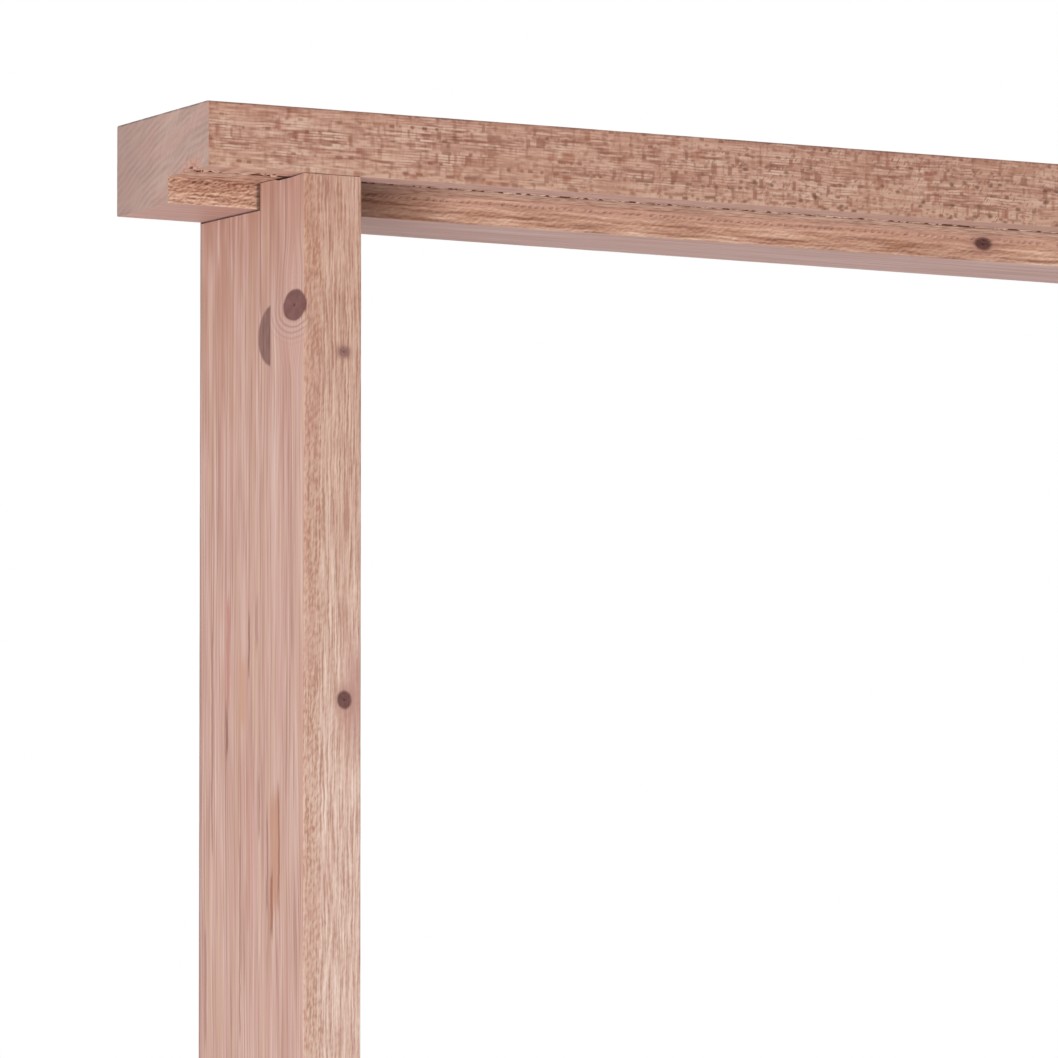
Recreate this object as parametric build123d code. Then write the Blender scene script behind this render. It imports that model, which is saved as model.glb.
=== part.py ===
import math
import os

from build123d import *

os.makedirs("parts", exist_ok=True)

# Door frame for one leaf: a head and two jambs, one timber each, joined by wedged through tenons.
# Millimetres. X runs along the head, Y from the front (rebated) face to the back, Z up from the feet.

# Door leaf that the frame is made for
LEAF_WIDTH = 838.0
LEAF_HEIGHT = 1981.0
LEAF_THICKNESS = 44.0
LEAF_GAP = 3.0  # clearance round the leaf, at both edges and the top
FLOOR_GAP = 6.0  # clearance under the leaf

# Timber section, shared by head and jambs
DEPTH = 100.0  # front face to back face
THICKNESS = 42.0  # outer face to the face of the stop
REBATE_DEPTH = 12.0  # how far the stop stands inside the leaf's edge
REBATE_WIDTH = LEAF_THICKNESS  # the leaf closes flush with the front face
ARRIS = 1.0  # radius on the planed long edges

# Weather-seal kerf, run along the ledge of the rebate
KERF_SETBACK = 16.0  # from the front face
KERF_WIDTH = 4.5
KERF_DEPTH = 7.0

# Horns: the head runs on past both jambs
HORN = 49.5  # measured on the front face
HORN_SAW_ANGLE = 3.7  # the left horn is sawn out of square by this many degrees

# Tenon on each jamb, mortise through the head
TENON_THICKNESS = 18.0  # along Y
TENON_SET_IN = 4.0  # narrow shoulder at the outer and the inner edge
TENON_FIT = 0.1  # glue clearance at each cheek
STEP_GAP = 2.0  # jamb step to the head's rebate face
LEDGE_GAP = 0.6  # jamb step to the ledge
SHOULDER_EASE = 0.9  # chamfer round the jamb's shoulder line

# Wedges, driven in from above at both ends of each tenon
WEDGE_THICK = 4.0  # at the thick end, level with the top of the head
WEDGE_FLARE_START = 0.2  # room at the mortise mouth, so that the tenon can be put in
WEDGE_BOTTOM = 6.0  # thin end of the wedge, above the underside of the head
WEDGE_FIT = 0.3  # narrower than the mortise by this much at each cheek

# Worked out from the sizes above
OPENING = LEAF_WIDTH + 2 * LEAF_GAP  # between the rebates
LIP = THICKNESS - REBATE_DEPTH
JAMB_OUTER = OPENING / 2 + LIP  # distance of a jamb's outer face from the middle
JAMB_INNER = JAMB_OUTER - THICKNESS
LEDGE_Z = FLOOR_GAP + LEAF_HEIGHT + LEAF_GAP
HEAD_TOP = LEDGE_Z + LIP
HEAD_UNDER = HEAD_TOP - THICKNESS
HEAD_HALF = JAMB_OUTER + HORN
FRONT_Y = -DEPTH / 2
BACK_Y = DEPTH / 2
REBATE_Y = FRONT_Y + REBATE_WIDTH
KERF_Y = FRONT_Y + KERF_SETBACK + KERF_WIDTH / 2
TENON_Y = (REBATE_Y + BACK_Y) / 2
TENON_OUTER = JAMB_OUTER - TENON_SET_IN
TENON_INNER = JAMB_INNER + TENON_SET_IN
CUT = 5.0  # how far cutting solids run past the timber


def timber_section():
    """Rebated section: U is depth from front to back, V is thickness, with the stop's face at V = 0."""
    outline = Rectangle(DEPTH, THICKNESS, align=(Align.CENTER, Align.MIN))
    rebate = Pos(FRONT_Y, 0) * Rectangle(REBATE_WIDTH, REBATE_DEPTH, align=(Align.MIN, Align.MIN))
    section = outline - rebate
    corners = [
        v for v in section.vertices()
        if not (abs(v.X - REBATE_Y) < 0.01 and abs(v.Y - REBATE_DEPTH) < 0.01)
    ]
    section = fillet(corners, ARRIS)
    kerf = Pos(KERF_Y, REBATE_DEPTH) * Rectangle(
        KERF_WIDTH, 2 * KERF_DEPTH, align=(Align.CENTER, Align.CENTER)
    )
    return section - kerf


def mortise(side, clear_y):
    """Hole through the head for one tenon, flared towards the top for the two wedges."""
    flare = (WEDGE_THICK - WEDGE_FLARE_START) / THICKNESS
    low, high = -CUT, THICKNESS + CUT
    points = [
        (TENON_OUTER + WEDGE_FLARE_START + flare * low, HEAD_UNDER + low),
        (TENON_OUTER + WEDGE_FLARE_START + flare * high, HEAD_UNDER + high),
        (TENON_INNER - WEDGE_FLARE_START - flare * high, HEAD_UNDER + high),
        (TENON_INNER - WEDGE_FLARE_START - flare * low, HEAD_UNDER + low),
    ]
    face = make_face(Polyline(*[(side * x, z) for x, z in points], close=True))
    width = TENON_THICKNESS + 2 * clear_y
    return Pos(0, TENON_Y, 0) * extrude(Plane.XZ * face, amount=width / 2, both=True)


def head():
    """Top member: rebated underneath, kerfed, mortised for both jambs, with a horn at each end."""
    section = Plane.YZ * timber_section()
    bar = Pos(0, 0, HEAD_UNDER) * extrude(section, amount=HEAD_HALF, both=True)
    for side in (-1, 1):
        bar -= mortise(side, TENON_FIT)
    waste = Box(
        4 * CUT + DEPTH, 2 * DEPTH, 2 * THICKNESS, align=(Align.MAX, Align.CENTER, Align.CENTER)
    )
    saw_cut = Pos(-HEAD_HALF, FRONT_Y, HEAD_UNDER + THICKNESS / 2) * Rot(0, 0, -HORN_SAW_ANGLE)
    return bar - saw_cut * waste


def left_jamb():
    """Left post: square foot, stepped shoulder that follows the head's rebate, through tenon."""
    section = Pos(-JAMB_INNER, 0) * Rot(0, 0, 90) * timber_section()  # stop towards +X
    post = extrude(section, amount=HEAD_TOP)
    span = THICKNESS + 2 * CUT
    outer = -JAMB_OUTER - CUT
    # back shoulder: everything behind the step comes off down to the head's underside
    shoulder = Pos(outer, REBATE_Y - STEP_GAP, HEAD_UNDER) * Box(
        span, BACK_Y - REBATE_Y + STEP_GAP + CUT, THICKNESS + CUT,
        align=(Align.MIN, Align.MIN, Align.MIN),
    )
    tenon = Pos(-TENON_OUTER, TENON_Y, HEAD_UNDER - CUT) * Box(
        TENON_OUTER - TENON_INNER, TENON_THICKNESS, THICKNESS + CUT,
        align=(Align.MIN, Align.CENTER, Align.MIN),
    )
    # front step: rises into the head's rebate and stops just short of the ledge
    ledge = Pos(outer, FRONT_Y - CUT, LEDGE_Z - LEDGE_GAP) * Box(
        span, REBATE_WIDTH + CUT, THICKNESS + CUT, align=(Align.MIN, Align.MIN, Align.MIN)
    )
    post = post - shoulder - ledge
    rim = [
        e for e in post.edges()
        if abs(e.center().Z - HEAD_UNDER) < 0.01
        and (abs(e.center().X + JAMB_OUTER) < 0.01 or abs(e.center().Y - BACK_Y) < 0.01)
        and e.length > 4 * ARRIS
    ]
    post = chamfer(rim, SHOULDER_EASE)
    return post + tenon


def wedge(side, inner):
    """Thin wedge between one end of the mortise and the tenon's edge."""
    flare = (WEDGE_THICK - WEDGE_FLARE_START) / THICKNESS
    thin = WEDGE_FLARE_START + flare * WEDGE_BOTTOM
    edge, way = (TENON_INNER, -1) if inner else (TENON_OUTER, 1)
    points = [
        (edge, HEAD_UNDER + WEDGE_BOTTOM),
        (edge + way * thin, HEAD_UNDER + WEDGE_BOTTOM),
        (edge + way * WEDGE_THICK, HEAD_TOP),
        (edge, HEAD_TOP),
    ]
    face = make_face(Polyline(*[(side * x, z) for x, z in points], close=True))
    width = TENON_THICKNESS - 2 * WEDGE_FIT
    return Pos(0, TENON_Y, 0) * extrude(Plane.XZ * face, amount=width / 2, both=True)


jamb = left_jamb()
nodes = {
    "head": head(),
    "left_jamb": jamb,
    "right_jamb": mirror(jamb, about=Plane.YZ),
    "left_outer_wedge": wedge(-1, False),
    "left_inner_wedge": wedge(-1, True),
    "right_outer_wedge": wedge(1, False),
    "right_inner_wedge": wedge(1, True),
}

for name, shape in nodes.items():
    solids = shape.solids()
    if len(solids) != 1:
        raise ValueError(f"{name} is {len(solids)} solids, not one")
    export_step(solids[0], f"parts/{name}.step")
    box = solids[0].bounding_box()
    print(
        f"{name:18s} x {box.min.X:8.2f} {box.max.X:8.2f}  y {box.min.Y:7.2f} {box.max.Y:7.2f}"
        f"  z {box.min.Z:8.2f} {box.max.Z:8.2f}  volume {solids[0].volume / 1000:.1f} cm3"
    )

print(f"opening {OPENING:.1f} between rebates, {2 * JAMB_INNER:.1f} between stops")
print(f"head {2 * HEAD_HALF:.1f} long, back of left horn {HORN - DEPTH * math.tan(math.radians(HORN_SAW_ANGLE)):.1f}")
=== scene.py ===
import bpy
import bmesh
import math
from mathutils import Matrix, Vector


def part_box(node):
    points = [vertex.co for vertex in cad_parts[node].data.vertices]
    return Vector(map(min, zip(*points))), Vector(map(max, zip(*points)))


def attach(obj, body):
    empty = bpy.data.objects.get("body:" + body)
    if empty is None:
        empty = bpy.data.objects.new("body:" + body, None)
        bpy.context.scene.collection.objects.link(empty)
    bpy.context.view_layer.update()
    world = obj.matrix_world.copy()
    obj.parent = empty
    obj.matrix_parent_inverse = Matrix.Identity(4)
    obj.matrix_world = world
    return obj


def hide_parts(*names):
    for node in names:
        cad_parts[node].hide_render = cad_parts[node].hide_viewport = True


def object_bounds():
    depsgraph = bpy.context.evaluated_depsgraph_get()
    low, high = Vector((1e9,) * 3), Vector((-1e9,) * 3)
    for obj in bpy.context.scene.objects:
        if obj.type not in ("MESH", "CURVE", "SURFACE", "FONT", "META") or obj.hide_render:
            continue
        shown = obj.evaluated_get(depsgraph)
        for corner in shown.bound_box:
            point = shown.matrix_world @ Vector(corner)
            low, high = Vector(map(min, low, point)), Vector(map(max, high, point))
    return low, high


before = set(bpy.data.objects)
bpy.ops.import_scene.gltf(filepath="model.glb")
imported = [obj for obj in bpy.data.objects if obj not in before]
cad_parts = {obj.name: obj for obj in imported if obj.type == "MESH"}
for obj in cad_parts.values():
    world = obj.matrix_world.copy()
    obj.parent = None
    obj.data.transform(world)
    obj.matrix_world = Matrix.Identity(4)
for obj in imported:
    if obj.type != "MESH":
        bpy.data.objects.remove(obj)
cad_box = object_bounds()


# Camera, light and floor. The frame is seen from low on its left, from far off with a long lens, so
# that only its top left corner fills the picture. Even daylight from all round, one soft lamp low on
# the left, and a pale floor under the feet.
low, high = cad_box
head_low, head_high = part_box("head")
jamb_low, jamb_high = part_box("left_jamb")
CORNER = Vector((jamb_low[0], head_low[1], head_high[2]))  # jamb's outer face, front face, head's top
CAMERA_STEP = Vector((-3.7092, -6.7585, -1.0377))  # from that corner to the camera
CAMERA_TURN = math.radians(29.518)  # looks this far to the right of straight on
CAMERA_PITCH = math.radians(6.253)  # and this far up
LENS_MM = 581.7
SENSOR_MM = 36.0
FAR_ENOUGH = 100.0  # metres that the camera sees

camera_data = bpy.data.cameras.new("camera")
camera_data.sensor_width = SENSOR_MM
camera_data.lens = LENS_MM
camera_data.clip_end = FAR_ENOUGH
camera = bpy.data.objects.new("camera", camera_data)
camera.location = CORNER + CAMERA_STEP
camera.rotation_euler = (math.pi / 2 + CAMERA_PITCH, 0.0, -CAMERA_TURN)
bpy.context.collection.objects.link(camera)
bpy.context.scene.camera = camera
bpy.context.scene.view_settings.view_transform = "Standard"


def feed(tree, socket, value):
    """Gives an input a value, or links it to a node's output. A node stands for its first output."""
    if isinstance(value, bpy.types.Node):
        value = value.outputs[0]
    if isinstance(value, bpy.types.NodeSocket):
        tree.links.new(value, socket)
    elif value is not None:
        socket.default_value = value


def lay_node(tree, kind, feeds=None, **settings):
    """Adds a node with these settings, and feeds its inputs, each known by its number or name."""
    node = tree.nodes.new(kind)
    for name, value in settings.items():
        setattr(node, name, value)
    for key, value in (feeds or {}).items():
        feed(tree, node.inputs[key], value)
    return node


DAYLIGHT = 0.66  # strength of the light from all round
DAYLIGHT_COLOUR = (1.0, 0.985, 0.975, 1.0)
WHITE = (1.0, 1.0, 1.0, 1.0)  # background, as the camera, gloss and glass see it
world = bpy.data.worlds.new("studio")
bpy.context.scene.world = world
world.use_nodes = True
sky = world.node_tree
sky.nodes.clear()
ray = lay_node(sky, "ShaderNodeLightPath").outputs
either = ray["Is Camera Ray"]
for other in ("Is Glossy Ray", "Is Transmission Ray"):
    either = lay_node(sky, "ShaderNodeMath", {0: either, 1: ray[other]}, operation="MAXIMUM")
daylight = lay_node(sky, "ShaderNodeBackground", {"Color": DAYLIGHT_COLOUR, "Strength": DAYLIGHT})
white = lay_node(sky, "ShaderNodeBackground", {"Color": WHITE, "Strength": 1.0})
choose = lay_node(sky, "ShaderNodeMixShader", {0: either, 1: daylight, 2: white})
lay_node(sky, "ShaderNodeOutputWorld", {"Surface": choose})

LAMP_STEP = Vector((-3.0, -2.8, -1.5))  # from the frame's corner to the lamp
LAMP_SIZE = 2.0
LAMP_WATTS = 105.0
lamp_data = bpy.data.lights.new("window_left", "AREA")
lamp_data.shape = "DISK"
lamp_data.size = LAMP_SIZE
lamp_data.energy = LAMP_WATTS
lamp = bpy.data.objects.new("window_left", lamp_data)
lamp.location = CORNER + LAMP_STEP
lamp.rotation_euler = LAMP_STEP.to_track_quat("Z", "Y").to_euler()
bpy.context.collection.objects.link(lamp)

FLOOR_SIZE = 14.0
FLOOR_COLOUR = (0.86, 0.86, 0.86, 1.0)
FLOOR_ROUGHNESS = 0.9
floor_mesh = bpy.data.meshes.new("floor")
half = FLOOR_SIZE / 2
floor_mesh.from_pydata(
    [(-half, -half, low[2]), (half, -half, low[2]), (half, half, low[2]), (-half, half, low[2])],
    [], [(0, 1, 2, 3)],
)
floor = bpy.data.objects.new("floor", floor_mesh)
bpy.context.collection.objects.link(floor)
floor_paint = bpy.data.materials.new("pale_floor")
floor_paint.use_nodes = True
floor_shader = floor_paint.node_tree.nodes["Principled BSDF"]
floor_shader.inputs["Base Color"].default_value = FLOOR_COLOUR
floor_shader.inputs["Roughness"].default_value = FLOOR_ROUGHNESS
floor_mesh.materials.append(floor_paint)


# Head: one softwood timber across the top, rebated underneath for the leaf, with a narrow kerf in the
# ledge for a seal, a horn at each end and a flared mortise over each jamb. Planed on its wide faces,
# left rougher on its front edge and in the rebate, and sawn off at the ends, the left one askew.
MM = 0.001
# sizes that the boxes of the CAD pieces don't give
REBATE_DEPTH = 12 * MM
REBATE_WIDTH = 44 * MM
ARRIS = 1 * MM
KERF_SETBACK = 16 * MM
KERF_WIDTH = 4.5 * MM
KERF_DEPTH = 7 * MM
HORN_SLANT = math.tan(math.radians(3.7))
TENON_THICK = 18 * MM
TENON_SET_IN = 4 * MM
TENON_FIT = 0.1 * MM
WEDGE_THICK = 4 * MM
MORTISE_MOUTH = 0.2 * MM  # room beside the tenon, at the mortise's lower end
OVER = 5 * MM  # how far cutting blocks run past the timber
depth = head_high[1] - head_low[1]
thickness = head_high[2] - head_low[2]
jamb_thickness = jamb_high[0] - jamb_low[0]
front_y = head_low[1]
rebate_y = front_y + REBATE_WIDTH
ledge_z = head_low[2] + REBATE_DEPTH
jamb_x = -jamb_low[0]  # a jamb's outer face, from the middle
tenon_y = (rebate_y + head_high[1]) / 2
tenon_outer = jamb_x - TENON_SET_IN
tenon_inner = jamb_x - jamb_thickness + TENON_SET_IN
ARRIS_STEPS = 3  # short faces round a rounded arris


def rebated_outline(front, ledge, rebate, stop, back, outer):
    """Points round the section, as (depth, height, roughness). Each side has its own point spacing."""
    near, far = -depth / 2, depth / 2
    kerf_front = near + KERF_SETBACK
    kerf_back = kerf_front + KERF_WIDTH
    kerf_top = REBATE_DEPTH + KERF_DEPTH
    corners = [  # depth, height, arris radius, spacing and roughness of the side that starts here
        (near, REBATE_DEPTH, ARRIS, ledge, 0.2),
        (kerf_front, REBATE_DEPTH, 0, ledge, 0.1),
        (kerf_front, kerf_top, 0, ledge, 0.1),
        (kerf_back, kerf_top, 0, ledge, 0.1),
        (kerf_back, REBATE_DEPTH, 0, ledge, 0.5),
        (near + REBATE_WIDTH, REBATE_DEPTH, 0, rebate, 1.0),
        (near + REBATE_WIDTH, 0, ARRIS, stop, 0.1),
        (far, 0, ARRIS, back, 0.2),
        (far, thickness, ARRIS, outer, 0.1),
        (near, thickness, ARRIS, front, 0.8),
    ]
    points = []
    for i, (u, v, radius, spacing, rough) in enumerate(corners):
        last_u, last_v = corners[i - 1][:2]
        next_u, next_v, next_radius = corners[(i + 1) % len(corners)][:3]
        here = Vector((u, v))
        back_way = (Vector((last_u, last_v)) - here).normalized()
        on_way = (Vector((next_u, next_v)) - here).normalized()
        if radius:
            middle = here + (back_way + on_way) * radius
            for k in range(ARRIS_STEPS + 1):
                turn = k / ARRIS_STEPS * math.pi / 2
                point = middle - on_way * radius * math.cos(turn) - back_way * radius * math.sin(turn)
                points.append((point.x, point.y, rough if k > ARRIS_STEPS / 2 else corners[i - 1][4]))
        else:
            points.append((u, v, rough))
        start = here + on_way * radius
        stop_at = Vector((next_u, next_v)) - on_way * next_radius
        count = max(1, round((stop_at - start).length / spacing))
        for k in range(1, count):
            point = start.lerp(stop_at, k / count)
            points.append((point.x, point.y, rough))
    return points


def swept_timber(name, outline, stations, to_frame):
    """Closed bar: the outline repeated at each station, with a point attribute for how rough it is."""
    shell = bmesh.new()
    rough_layer = shell.verts.layers.float.new("rough")
    rings = []
    for station in stations:
        ring = []
        for u, v, rough in outline:
            vertex = shell.verts.new(to_frame(u, v, station))
            vertex[rough_layer] = rough
            ring.append(vertex)
        rings.append(ring)
    count = len(outline)
    for first, second in zip(rings, rings[1:]):
        for k in range(count):
            shell.faces.new((first[k], first[(k + 1) % count], second[(k + 1) % count], second[k]))
    shell.faces.new(rings[0])
    shell.faces.new(rings[-1])
    bmesh.ops.recalc_face_normals(shell, faces=shell.faces)
    return shell_to_object(name, shell)


def shell_to_object(name, shell):
    """Puts a finished shell into the scene, at the origin."""
    mesh = bpy.data.meshes.new(name)
    shell.to_mesh(mesh)
    shell.free()
    thing = bpy.data.objects.new(name, mesh)
    bpy.context.collection.objects.link(thing)
    return thing


def prism(name, polygon, start, stop, to_frame):
    """Closed straight block, used as a saw or chisel cut: a polygon carried from start to stop."""
    block = bmesh.new()
    first = [block.verts.new(to_frame(u, v, start)) for u, v in polygon]
    last = [block.verts.new(to_frame(u, v, stop)) for u, v in polygon]
    block.faces.new(first)
    block.faces.new(last)
    for k in range(len(polygon)):
        j = (k + 1) % len(polygon)
        block.faces.new((first[k], first[j], last[j], last[k]))
    bmesh.ops.recalc_face_normals(block, faces=block.faces)
    return shell_to_object(name, block)


def along_y(u, v, y):
    """For a polygon drawn on the front, as width and height, that is carried from front to back."""
    return (u, y, v)


def box_cut(name, x0, x1, y0, y1, z0, z1):
    """Square-sided cut between these planes."""
    return prism(name, [(x0, z0), (x1, z0), (x1, z1), (x0, z1)], y0, y1, along_y)


def new_tree(name, inputs):
    """A Geometry Nodes tree with these named inputs, beside its geometry, and the sockets that give them."""
    tree = bpy.data.node_groups.new(name, "GeometryNodeTree")
    for title, kind in (("Geometry", "Geometry"),) + inputs:
        tree.interface.new_socket(title, in_out="INPUT", socket_type="NodeSocket" + kind)
    tree.interface.new_socket("Geometry", in_out="OUTPUT", socket_type="NodeSocketGeometry")
    return tree, tree.nodes.new("NodeGroupInput").outputs


def end_tree(tree, geometry, finish):
    """Makes the instances real, gives them the finish and hands them out."""
    real = lay_node(tree, "GeometryNodeRealizeInstances", {0: geometry})
    finished = lay_node(tree, "GeometryNodeSetMaterial", {"Geometry": real, "Material": finish})
    lay_node(tree, "NodeGroupOutput", {0: finished})
    return tree


def raised_grain_tree():
    """Geometry Nodes: lowers the softer wood between the grain lines, more where the piece is rough."""
    tree, given = new_tree("raised_grain", (
        ("Grain Size", "Vector"), ("Planed Depth", "Float"), ("Rough Depth", "Float"), ("Finish", "Material"),
    ))
    place = lay_node(tree, "GeometryNodeInputPosition")
    stretch = lay_node(tree, "ShaderNodeVectorMath", {0: place, 1: given["Grain Size"]}, operation="DIVIDE")
    grain = lay_node(tree, "ShaderNodeTexNoise", {
        "Vector": stretch, "Scale": 1.0, "Detail": 3.0, "Roughness": 0.6,
    })
    level = lay_node(tree, "ShaderNodeMapRange", {"Value": grain, "From Min": 0.3, "From Max": 0.7})
    rough = lay_node(tree, "GeometryNodeInputNamedAttribute", {"Name": "rough"}, data_type="FLOAT")
    deep = lay_node(tree, "ShaderNodeMix", {
        0: rough.outputs["Attribute"], 2: given["Planed Depth"], 3: given["Rough Depth"],
    }, data_type="FLOAT")
    amount = lay_node(tree, "ShaderNodeMath", {0: level, 1: deep}, operation="MULTIPLY")
    inward = lay_node(tree, "ShaderNodeMath", {0: amount, 1: -1.0}, operation="MULTIPLY")
    normal = lay_node(tree, "GeometryNodeInputNormal")
    push = lay_node(tree, "ShaderNodeVectorMath", {0: normal, "Scale": inward}, operation="SCALE")
    moved = lay_node(tree, "GeometryNodeSetPosition", {"Geometry": given["Geometry"], "Offset": push})
    return end_tree(tree, moved, given["Finish"])


def torn_fibre_tree():
    """Geometry Nodes: on each point of a line, a lump of torn fibre, with gaps left by a noise."""
    tree, given = new_tree("torn_fibres", (
        ("Fibre Size", "Vector"), ("Gap Length", "Float"), ("Gap Share", "Float"), ("Seed", "Int"),
        ("Finish", "Material"),
    ))
    lump = lay_node(tree, "GeometryNodeMeshUVSphere", {"Segments": 8, "Rings": 5, "Radius": 0.5})
    place = lay_node(tree, "GeometryNodeInputPosition")
    rate = lay_node(tree, "ShaderNodeMath", {0: 1.0, 1: given["Gap Length"]}, operation="DIVIDE")
    spread = lay_node(tree, "ShaderNodeVectorMath", {0: place, "Scale": rate}, operation="SCALE")
    gaps = lay_node(tree, "ShaderNodeTexNoise", {"Vector": spread, "Scale": 1.0, "Detail": 1.0})
    keep = lay_node(tree, "FunctionNodeCompare", {0: gaps, 1: given["Gap Share"]}, operation="GREATER_THAN")
    # the lumps differ a little in size and lie a little askew, by radians round each axis
    size = lay_node(tree, "FunctionNodeRandomValue", {
        "Min": (0.7, 1.0, 0.7), "Max": (1.3, 1.0, 1.2), "Seed": given["Seed"],
    }, data_type="FLOAT_VECTOR")
    tilt = lay_node(tree, "FunctionNodeRandomValue", {
        "Min": (-0.15, -0.12, -0.35), "Max": (0.15, 0.12, 0.35), "Seed": given["Seed"],
    }, data_type="FLOAT_VECTOR")
    scale = lay_node(tree, "ShaderNodeVectorMath", {0: given["Fibre Size"], 1: size}, operation="MULTIPLY")
    fibres = lay_node(tree, "GeometryNodeInstanceOnPoints", {
        "Points": given["Geometry"], "Instance": lump, "Selection": keep, "Scale": scale, "Rotation": tilt,
    })
    return end_tree(tree, fibres, given["Finish"])


def add_tree(thing, tree, **inputs):
    """Puts a tree on an object. An input's name is written with _ for its spaces and in small letters."""
    modifier = thing.modifiers.new(tree.name, "NODES")
    modifier.node_group = tree
    for item in tree.interface.items_tree:
        name = item.name.lower().replace(" ", "_")
        if item.item_type == "SOCKET" and item.in_out == "INPUT" and name in inputs:
            modifier[item.identifier] = inputs[name]


def apply_all(thing):
    """Turns the live modifiers into a plain mesh."""
    bpy.context.view_layer.update()
    depsgraph = bpy.context.evaluated_depsgraph_get()
    worked = bpy.data.meshes.new_from_object(thing.evaluated_get(depsgraph))
    thing.modifiers.clear()
    raw = thing.data
    thing.data = worked
    bpy.data.meshes.remove(raw)
    return worked


def remove_object(thing):
    """Takes away a helper object, once its mesh has been used."""
    mesh = thing.data
    bpy.data.objects.remove(thing)
    bpy.data.meshes.remove(mesh)


PLANED_DEPTH = 0.05 * MM  # how far the softer wood lies back between the grain lines
SHARP_EDGE = math.radians(38)  # faces that meet at more than this keep a sharp edge


def shape_timber(timber, cuts, grain_size, rough_depth, finishes, finish_of):
    """Raises the grain, takes the cuts out, and gives each face the finish of its side."""
    add_tree(
        timber, raised_grain, grain_size=grain_size, planed_depth=PLANED_DEPTH, rough_depth=rough_depth,
        finish=finishes[0],
    )
    for cut in cuts:
        chop = timber.modifiers.new(cut.name, "BOOLEAN")
        chop.operation = "DIFFERENCE"
        chop.solver = "EXACT"
        chop.object = cut
    worked = apply_all(timber)
    for cut in cuts:
        remove_object(cut)
    worked.materials.clear()
    for material in finishes:
        worked.materials.append(material)
    for face in worked.polygons:
        face.material_index = finish_of(face.center, face.normal)
        face.use_smooth = True
    worked.set_sharp_from_angle(angle=SHARP_EDGE)


def add_fibres(timber, points, gap_share, seed, finish_index):
    """Lays torn fibres on the points and joins them to the timber that they belong to."""
    line = bpy.data.meshes.new("fibre_points")
    line.from_pydata(points, [], [])
    fibres = bpy.data.objects.new("fibres", line)
    bpy.context.collection.objects.link(fibres)
    add_tree(
        fibres, torn_fibres, fibre_size=FIBRE, gap_length=GAP_LENGTH, gap_share=gap_share, seed=seed,
        finish=timber.data.materials[finish_index],
    )
    lumps = apply_all(fibres)
    for face in lumps.polygons:
        face.material_index = finish_index
        face.use_smooth = True
    both = bmesh.new()
    both.from_mesh(timber.data)
    both.from_mesh(lumps)
    both.to_mesh(timber.data)
    both.free()
    remove_object(fibres)


SHEEN = 0.25  # specular level of bare wood
LOT_EDGE = 0.01  # half the step in a cell's random number between a dot and none


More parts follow.
